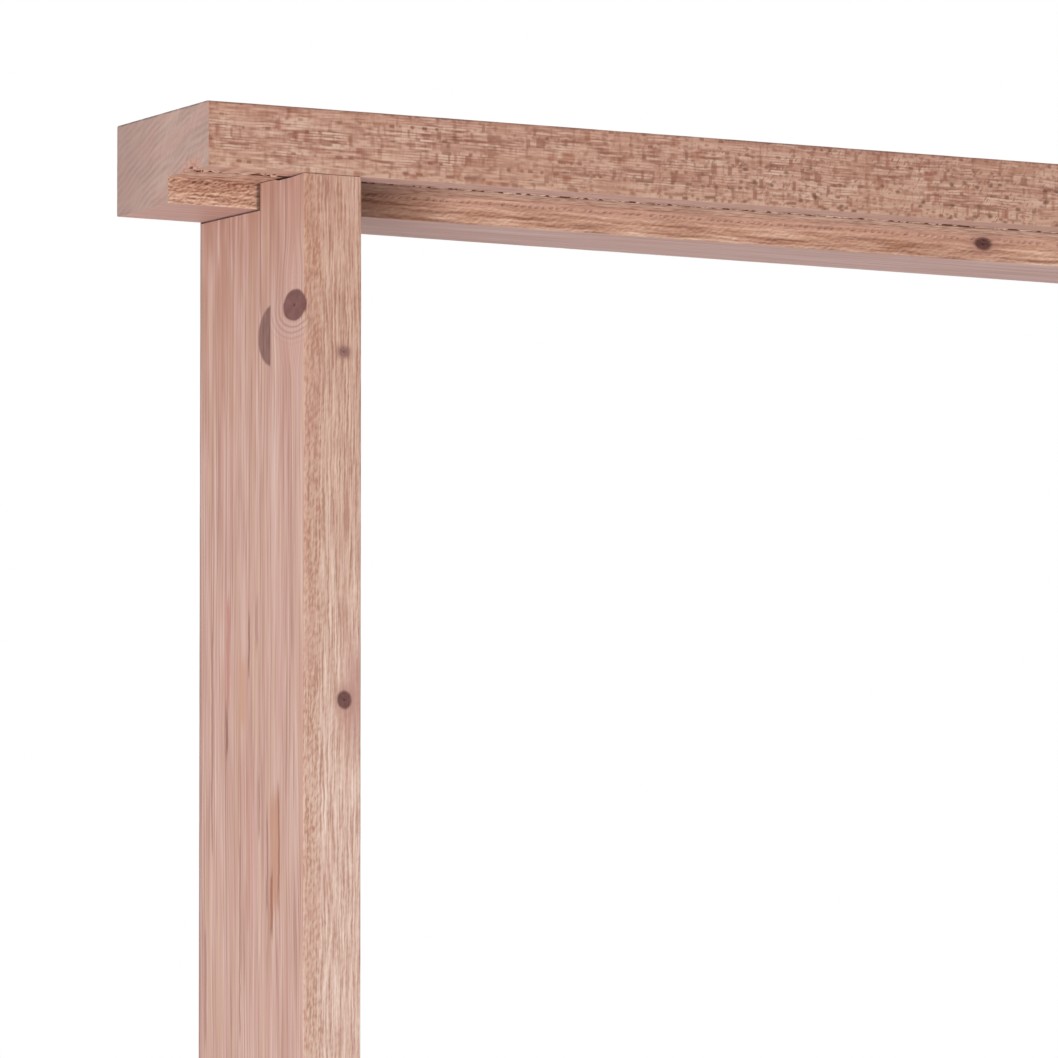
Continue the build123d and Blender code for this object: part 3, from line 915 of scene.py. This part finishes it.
HOUSING_DEPTH = 0.6 * MM
HOUSING_PAST = 0.3 * MM  # how far it shows beyond the jamb's outer face
HOUSING_RIM = 0.4 * MM  # left whole above and below it
HEAD_GRAIN = (18 * MM, 1.8 * MM, 1.8 * MM)  # length, width and height of the head's grain lines
HEAD_ROUGH_DEPTH = 0.35 * MM
seen_end = PHOTO_RIGHT * MM
head_timber = swept_timber(
    "head_timber",
    rebated_outline(
        front=1.0 * MM, ledge=1.9 * MM, rebate=1.0 * MM, stop=2.4 * MM, back=3 * MM, outer=3.4 * MM,
    ),
    stations_along(head_low[0], seen_end, 2.2 * MM) + stations_along(seen_end, head_high[0], 4 * MM)
    + [head_high[0]],
    across_head,
)
flare = (WEDGE_THICK - MORTISE_MOUTH) / thickness
head_cuts = []
for side in (-1, 1):
    mortise = [
        (side * (tenon_outer + MORTISE_MOUTH - flare * OVER), head_low[2] - OVER),
        (side * (tenon_outer + WEDGE_THICK + flare * OVER), head_high[2] + OVER),
        (side * (tenon_inner - WEDGE_THICK - flare * OVER), head_high[2] + OVER),
        (side * (tenon_inner - MORTISE_MOUTH + flare * OVER), head_low[2] - OVER),
    ]
    cheek = TENON_THICK / 2 + TENON_FIT
    head_cuts.append(prism("mortise", mortise, tenon_y - cheek, tenon_y + cheek, along_y))
    # behind the jamb's step the rebate's face is pared back a little
    edges = sorted((side * (jamb_x + HOUSING_PAST), side * (jamb_x - jamb_thickness + HOUSING_PAST)))
    head_cuts.append(box_cut(
        "housing", edges[0], edges[1], rebate_y - OVER, rebate_y + HOUSING_DEPTH,
        head_low[2] + HOUSING_RIM, ledge_z - HOUSING_RIM,
    ))
for x, y, width, length, _ in TEAR_OUTS:
    tear = [
        (x - width / 2, y - length / 4), (x, y - length / 2), (x + width / 2, y - length / 4),
        (x + width / 2, y + length / 4), (x, y + length / 2), (x - width / 2, y + length / 4),
    ]
    head_cuts.append(prism(
        "tear_out", [(u * MM, v * MM) for u, v in tear], ledge_z - OVER, ledge_z + TEAR_DEPTH,
        lambda u, v, z: (u, v, z),
    ))
shape_timber(head_timber, head_cuts, HEAD_GRAIN, HEAD_ROUGH_DEPTH, head_finishes, head_side)

# Torn fibres across the kerf: nearly closed on the horns, in scattered dashes between the jambs
KERF_OPEN = 4 * MM  # the kerf is clean this far out from each jamb
FIBRE = (2.6 * MM, KERF_WIDTH * 1.15, 1.5 * MM)
FIBRE_PROUD = 0.15 * MM  # how far a fibre's lower side stands out of the ledge
FIBRE_PITCH = 1.1 * MM
DASH_PITCH = 1.6 * MM
GAP_LENGTH = 3 * MM
GAP_SHARE = 0.47  # of the kerf that no fibre closes, between the jambs
HOLE = 1.6 * MM  # no fibre starts nearer than this to the middle of a tear-out
END_CLEAR = 4.5 * MM  # nor than this to the head's ends, where the kerf has closed
kerf_y = front_y + KERF_SETBACK + KERF_WIDTH / 2
fibre_z = ledge_z + FIBRE[2] / 2 - FIBRE_PROUD
jamb_inner_x = jamb_x - jamb_thickness
closed = stations_along(head_low[0] + END_CLEAR, -jamb_x - KERF_OPEN, FIBRE_PITCH)
closed = [x for x in closed if min(abs(x - tear[0] * MM) for tear in TEAR_OUTS) > HOLE]
closed += stations_along(jamb_x + KERF_OPEN, head_high[0] - END_CLEAR, FIBRE_PITCH)
dashed = stations_along(-jamb_inner_x, jamb_inner_x, DASH_PITCH)
for stations, gap_share, seed in ((closed, 0.0, 3), (dashed, GAP_SHARE, 7)):
    add_fibres(head_timber, [(x, kerf_y, fibre_z) for x in stations], gap_share, seed, REBATE)
# and darker ones packed behind them, in the cut finish's painted shade deep in the kerf
packed = [x for x in closed + dashed if abs(x) < head_high[0] - 2 * END_CLEAR]
add_fibres(head_timber, [(x, kerf_y, fibre_z + FIBRE[2]) for x in packed], 0.0, 5, CUT)
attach(head_timber, "root")
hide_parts("head")


# Left jamb: the post under the head's left end, the same rebated timber stood upright. Its top is cut
# to a stepped shoulder that follows the head's rebate, and a through tenon goes up into the head.
# The outer face is planed smooth with long pink and brown streaks and knots, the front edge is rougher.
STEP_GAP = 2 * MM  # jamb's step to the head's rebate face
VISIBLE_GAP = 0.15 * MM  # and to the ledge, where the step has swollen up against it
HOLLOW = 0.75 * MM  # wear on top of the step
WORN_STEP = ((1, 0.0), (12, 0.8), (24, 1.0), (28, 0.0))  # mm in from the front, and share of that wear
SHADOW_GROOVE = 0.75 * MM  # the shoulder line's height, as it shows on the outer face
JAMB_GRAIN = (1.8 * MM, 1.8 * MM, 18 * MM)
JAMB_ROUGH_DEPTH = 0.30 * MM
ROUND_KNOT = (-452.0, -40.8, 1930.3)  # places in millimetres
ROUND_KNOT_RADII = (2.6, 10.6, 7.2)
HALF_KNOT = (-452.0, -20.6, 1918.6)
HALF_KNOT_RADIUS = 14.0
HALF_KNOT_EDGE = -18.0  # cut off straight along this line


def jamb_planed_finish():
    """Planed faces of a jamb: long straight pink and brown streaks, some as thin as a hair."""
    shop = WoodShop("jamb_planed_wood")
    x, y, z = shop.x, shop.y, shop.z
    large = shop.noise((70.0, 70.0, 300.0), 1.0)
    small = shop.noise((12.0, 12.0, 70.0), 1.0)
    # the grain swells round the upper knot
    swell = shop.vector("LENGTH", shop.away_from(ROUND_KNOT, (30.0, 16.0, 22.0)))
    swell = shop.span(swell, 1.6, 0.6, 0.0, 3.0, smooth=True)
    swell = shop.times(swell, shop.math("SIGN", shop.plus(y, -ROUND_KNOT[1])))
    bent = shop.join(x, shop.plus(y, (large, 11.0), (small, 1.2), (swell, -1.0)), z)
    broad = shop.noise((7.0, 7.0, 260.0), 1.0, at=bent)
    streaks = shop.noise((2.0, 2.0, 120.0), 3.0, 0.6, at=bent)
    hair = shop.noise((0.75, 0.75, 50.0), 1.0, at=bent)
    mixed = shop.plus((broad, 0.22), (streaks, 0.42), (hair, 0.46), -0.05)
    colour = shop.tones(mixed, [
        (0.38, (178, 134, 120)), (0.45, (193, 152, 138)), (0.50, (203, 164, 151)),
        (0.56, (211, 175, 163)), (0.64, (222, 191, 180)),
    ])
    beige = shop.noise((5.0, 5.0, 150.0), 1.0, at=bent)
    colour = shop.blend(shop.span(beige, 0.50, 0.66, 0.0, 0.5), colour, (206, 168, 146))
    pink = shop.noise((3.6, 3.6, 110.0), 1.0, at=shop.vector("ADD", bent, (40.0, 40.0, 400.0)))
    colour = shop.blend(shop.span(pink, 0.54, 0.68, 0.0, 0.5), colour, (204, 154, 146))
    stain = shop.noise((7.0, 7.0, 60.0), 2.0, at=bent)
    brown = shop.times(
        shop.span(stain, 0.42, 0.60), shop.span(z, 1850.0, 1970.0, 0.10, 1.0),
        shop.span(y, -12.0, 4.0, 0.5, 1.1),
    )
    colour = shop.blend(shop.times(brown, 0.68), colour, (180, 131, 111))
    thin = shop.span(shop.noise((0.9, 0.9, 60.0), 1.0, at=bent), 0.64, 0.71)
    colour = shop.blend(shop.times(thin, 0.55), colour, (160, 114, 102))
    height = mixed

    # brown and resin streaks, each at its depth on the face, from and to its heights
    waver = shop.noise((9.0, 9.0, 12.0), 2.0)
    frayed = shop.noise((0.8, 0.8, 14.0), 1.0, at=bent)
    for middle, width, foot, top, tone, strength in (
        (-22.6, 8.5, 1655.0, 1708.0, (192, 142, 118), 0.8),
        (-20.0, 2.2, 1645.0, 1674.0, (158, 98, 72), 0.85),
        (-26.6, 1.6, 1660.0, 1710.0, (158, 104, 84), 0.85),
        (1.9, 1.7, 1766.0, 1792.0, (146, 96, 82), 0.8),
        (21.8, 2.6, 1752.0, 1802.0, (192, 130, 118), 0.8),
        (23.0, 2.2, 1730.0, 1752.0, (144, 96, 84), 0.8),
        (37.0, 1.4, 1690.0, 1790.0, (158, 112, 102), 0.7),
        (-5.5, 2.8, 1776.0, 1800.0, (178, 132, 124), 0.7),
        (-8.0, 1.6, 1690.0, 1716.0, (160, 112, 98), 0.7),
        (-16.0, 1.5, 1655.0, 1700.0, (158, 108, 92), 0.75),
        (8.0, 7.0, 1742.0, 1772.0, (200, 150, 122), 0.6),
        (27.0, 3.4, 1895.0, 1966.0, (184, 134, 114), 0.5),
        (19.0, 4.0, 1880.0, 1950.0, (188, 140, 118), 0.45),
        (2.0, 3.0, 1650.0, 1720.0, (196, 144, 130), 0.6),
        (10.0, 1.6, 1600.0, 1690.0, (158, 108, 98), 0.6),
        (43.0, 2.0, 1600.0, 1650.0, (164, 116, 104), 0.6),
    ):
        off = shop.math("ABSOLUTE", shop.plus(y, -middle, (waver, 2.0), -1.0))
        ends = shop.plus(z, (frayed, 16.0), -8.0)
        along = shop.times(shop.span(ends, foot - 4, foot + 4), shop.span(ends, top + 4, top - 4))
        here = shop.times(shop.span(off, width * 0.65, width * 0.30), along, shop.span(x, -445.0, -449.0))
        colour = shop.blend(shop.times(here, strength), colour, tone)

    # a thin line runs on down from the back of the step, and the back arris, which turns away from the light,
    # is greyed with painted shade
    scribe = shop.times(
        shop.span(shop.math("ABSOLUTE", shop.plus(y, 8.2)), 0.85, 0.3), shop.span(z, 1928.0, 1936.0),
        shop.span(x, -449.0, -451.0),
    )
    colour = shop.blend(shop.times(scribe, 0.75), colour, (156, 106, 90))
    back_arris_shade = shop.span(y, 47.2, 49.2, 0.0, 0.8)
    colour = shop.blend(back_arris_shade, colour, (138, 106, 100))

    below = shop.span(z, 1938.0, 1926.0, 0.12, 1.0)
    colour, height = named_knot(
        shop, colour, height, ROUND_KNOT, ROUND_KNOT_RADII, (122, 78, 74), 0.09, 0.6, below,
    )
    away = shop.vector("LENGTH", shop.vector("SUBTRACT", shop.place, HALF_KNOT))
    half = shop.times(
        shop.span(away, HALF_KNOT_RADIUS + 0.7, HALF_KNOT_RADIUS - 0.7),
        shop.span(y, HALF_KNOT_EDGE - 0.4, HALF_KNOT_EDGE + 0.4),
    )
    fibres = shop.noise((1.2, 1.2, 9.0), 3.0)
    half_tone = shop.tones(fibres, [(0.35, (124, 86, 79)), (0.65, (144, 106, 97))])
    colour = shop.blend(half, colour, half_tone)
    rim = shop.times(half, shop.span(y, HALF_KNOT_EDGE + 1.8, HALF_KNOT_EDGE, 0.0, 0.45))
    colour = shop.blend(rim, colour, (106, 70, 66))
    below_photo = shop.span(z, PHOTO_FOOT - 5, PHOTO_FOOT - 25)
    hidden = shop.math("MAXIMUM", below_photo, shop.span(x, -449.0, -447.0))
    colour, height = scattered_knots(shop, colour, height, (120.0, 120.0, 260.0), 8.0, hidden)
    height = shop.plus(height, (scribe, -0.5), (half, 0.25))
    return shop.finish(colour, height, 0.10, shop.span(streaks, 0.3, 0.7, 0.58, 0.46))


def jamb_front_finish():
    """Rough front edge of a jamb: fine upright lines, with a browner band of short torn strokes."""
    shop = WoodShop("jamb_front_wood")
    x, y, z = shop.x, shop.y, shop.z
    from_edge = shop.plus(jamb_mm, (shop.math("ABSOLUTE", x), -1.0))  # from the outer arris inwards
    small = shop.noise((5.0, 60.0, 7.0), 1.0)
    large = shop.noise((20.0, 60.0, 80.0), 1.0)
    bent = shop.join(shop.plus(x, (small, 1.0), (large, 3.0)), y, z)
    lines = shop.noise((0.85, 60.0, 24.0), 2.0, at=bent)
    broad = shop.noise((2.6, 60.0, 60.0), 2.0, at=bent)
    tears = shop.noise((1.1, 60.0, 3.0), 1.0, at=shop.turn(bent, "Y", -10.0))
    ragged = shop.noise((9.0, 60.0, 22.0), 1.0)
    band = shop.span(shop.plus(from_edge, (ragged, 4.0)), 12.0, 8.5)
    torn = shop.plus((band, 0.42), 0.14)
    mixed = shop.plus((lines, 0.72), (broad, 0.14), (shop.times(tears, torn), 1.25), (torn, -0.625), 0.07)
    colour = shop.tones(mixed, [
        (0.37, (184, 142, 125)), (0.44, (204, 166, 150)), (0.50, (218, 185, 169)),
        (0.56, (227, 198, 183)), (0.65, (239, 216, 201)),
    ])
    # darker towards the top
    toward_top = shop.span(z, 1700.0, 1965.0)
    colour = shop.blend(toward_top, colour, (233, 217, 208), "MULTIPLY")
    colour = shop.blend(shop.times(band, 0.42), colour, (188, 137, 112))
    tint = shop.noise((14.0, 60.0, 60.0), 1.0)
    colour = shop.blend(shop.span(tint, 0.5, 0.68, 0.0, 0.30), colour, (210, 168, 154))
    edge = shop.span(from_edge, 41.0, 42.0, 0.0, 0.3)
    colour = shop.blend(edge, colour, (184, 128, 112))
    height = mixed
    off = shop.vector("LENGTH", shop.away_from((-424.0, front_mm, 1752.0), (9.0, 60.0, 34.0)))
    blush = shop.span(off, 1.0, 0.3, 0.0, 0.65, smooth=True)
    colour = shop.blend(blush, colour, (186, 138, 128))
    for centre, radii, heart, soft in (
        ((-431.3, -50.0, 1909.1), (3.0, 6.0, 2.5), (142, 104, 95), 0.6),
        ((-430.9, -50.0, 1750.1), (3.7, 6.0, 4.2), (112, 76, 72), 0.22),
    ):
        colour, height = named_knot(shop, colour, height, centre, radii, heart, soft)
    below = shop.span(z, 1938.0, 1926.0, 0.25, 1.0)
    colour, height = named_knot(
        shop, colour, height, ROUND_KNOT, ROUND_KNOT_RADII, (122, 78, 74), 0.09, 0.4, below,
    )
    below_photo = shop.span(z, PHOTO_FOOT - 5, PHOTO_FOOT - 25)
    hidden = shop.math("MAXIMUM", below_photo, shop.span(x, 0.0, 10.0))
    colour, height = scattered_knots(shop, colour, height, (60.0, 60.0, 300.0), 5.0, hidden)
    return shop.finish(colour, height, 0.45, 0.62)


jamb_finishes = [
    jamb_planed_finish(), jamb_front_finish(), cut_wood,
    end_grain_finish("jamb_end_grain", "Z", (-640.0, 40.0, 0.0)),
]
JAMB_PLANED, JAMB_FRONT, JAMB_CUT, JAMB_END = range(4)


def jamb_side(centre, normal):
    """Finish of one face of a jamb, by where it lies and which way it faces."""
    x, y, z = centre
    in_from_side = jamb_x - abs(x)
    kerf_y_front = front_y + KERF_SETBACK
    if abs(normal.z) > 0.8 and (z < NEAR or z > head_high[2] - NEAR):
        return JAMB_END
    in_kerf = kerf_y_front - CLOSE < y < kerf_y_front + KERF_WIDTH + CLOSE
    in_kerf = in_kerf and CLOSE < jamb_thickness - REBATE_DEPTH - in_from_side < KERF_DEPTH + CLOSE
    in_joint = z > head_low[2] - 2 * NEAR and y > rebate_y - STEP_GAP - CLOSE and abs(normal.x) < 0.9
    if abs(normal.z) > 0.5 or in_kerf or in_joint and z > head_low[2] - SHADOW_GROOVE:
        return JAMB_CUT
    if normal.y < -0.5 and (y < front_y + NEAR or abs(y - rebate_y) < NEAR):
        return JAMB_FRONT
    return JAMB_PLANED


def make_jamb(name, hand, fine, coarse):
    """hand is -1 for the left jamb and 1 for the right one, its mirror image. fine and coarse are the
    spacings of its points, in the photo's part and below it."""
    outer = hand * jamb_x
    inner = outer - hand * jamb_thickness
    timber = swept_timber(
        name,
        rebated_outline(
            front=1.0 * MM, ledge=2.4 * MM, rebate=2.0 * MM, stop=2.8 * MM, back=3 * MM, outer=1.4 * MM,
        ),
        stations_along(0.0, PHOTO_FOOT * MM, coarse) + stations_along(PHOTO_FOOT * MM, head_high[2], fine)
        + [head_high[2]],
        lambda u, v, z: (inner + hand * v, u, z),
    )
    outside, inside = outer + hand * OVER, inner - hand * OVER
    tenon_front, tenon_back = tenon_y - TENON_THICK / 2, tenon_y + TENON_THICK / 2
    step_back = rebate_y - STEP_GAP
    shoulder, above = head_low[2], head_high[2] + OVER
    skim = OVER / 10  # blocks overlap by this much, so that no film is left between them
    # the step's top is worn a little hollow, a short way in from the front
    step_z = ledge_z - VISIBLE_GAP
    step_top = [(front_y - OVER, step_z)]
    step_top += [(front_y + place * MM, step_z - wear * HOLLOW) for place, wear in WORN_STEP]
    step_top += [(step_back + skim, step_z), (step_back + skim, above), (front_y - OVER, above)]
    # the tenon is left standing between four blocks of waste
    shoulders = (
        ("shoulder_front", outside, inside, step_back, tenon_front),
        ("shoulder_back", outside, inside, tenon_back, head_high[1] + OVER),
        ("shoulder_outer", outside, hand * tenon_outer, tenon_front - skim, tenon_back + skim),
        ("shoulder_inner", hand * tenon_inner, inside, tenon_front - skim, tenon_back + skim),
    )
    cuts = [box_cut(*waste, shoulder, above) for waste in shoulders]
    cuts.append(prism("step_top", step_top, outside, inside, lambda y, z, x: (x, y, z)))
    cuts.append(box_cut(
        "shoulder_shadow", outside, outer - hand * 3 * SHADOW_GROOVE, step_back, head_high[1] - 1.5 * ARRIS,
        shoulder - SHADOW_GROOVE, shoulder + skim,
    ))
    shape_timber(timber, cuts, JAMB_GRAIN, JAMB_ROUGH_DEPTH, jamb_finishes, jamb_side)
    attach(timber, "root")
    return timber


left_timber = make_jamb("left_jamb_timber", -1, 3 * MM, 8 * MM)
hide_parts("left_jamb")


# Right jamb: the left one's mirror image, of the same softwood, under the head's other end. Its tenon goes
# up through the head like the left one's. It is out of the picture, so its points lie further apart.
right_timber = make_jamb("right_jamb_timber", 1, 6 * MM, 9 * MM)
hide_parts("right_jamb")


# Wedges: four thin split wedges of the same wood, driven down beside the tenons from above and cut
# off level with the head. They keep their own solids and only get a finish.
def wedge_finish():
    """Split wood: short, dull grain lines that run up the wedge."""
    shop = WoodShop("wedge_wood")
    grain = shop.noise((0.8, 0.8, 20.0), 3.0, 0.6)
    colour = shop.tones(grain, [(0.35, (150, 108, 88)), (0.5, (184, 142, 120)), (0.65, (208, 172, 150))])
    return shop.finish(colour, grain, 0.2, 0.7)


wedge_wood = wedge_finish()
for wedge in ("left_outer_wedge", "left_inner_wedge", "right_outer_wedge", "right_inner_wedge"):
    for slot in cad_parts[wedge].material_slots:
        slot.material = wedge_wood
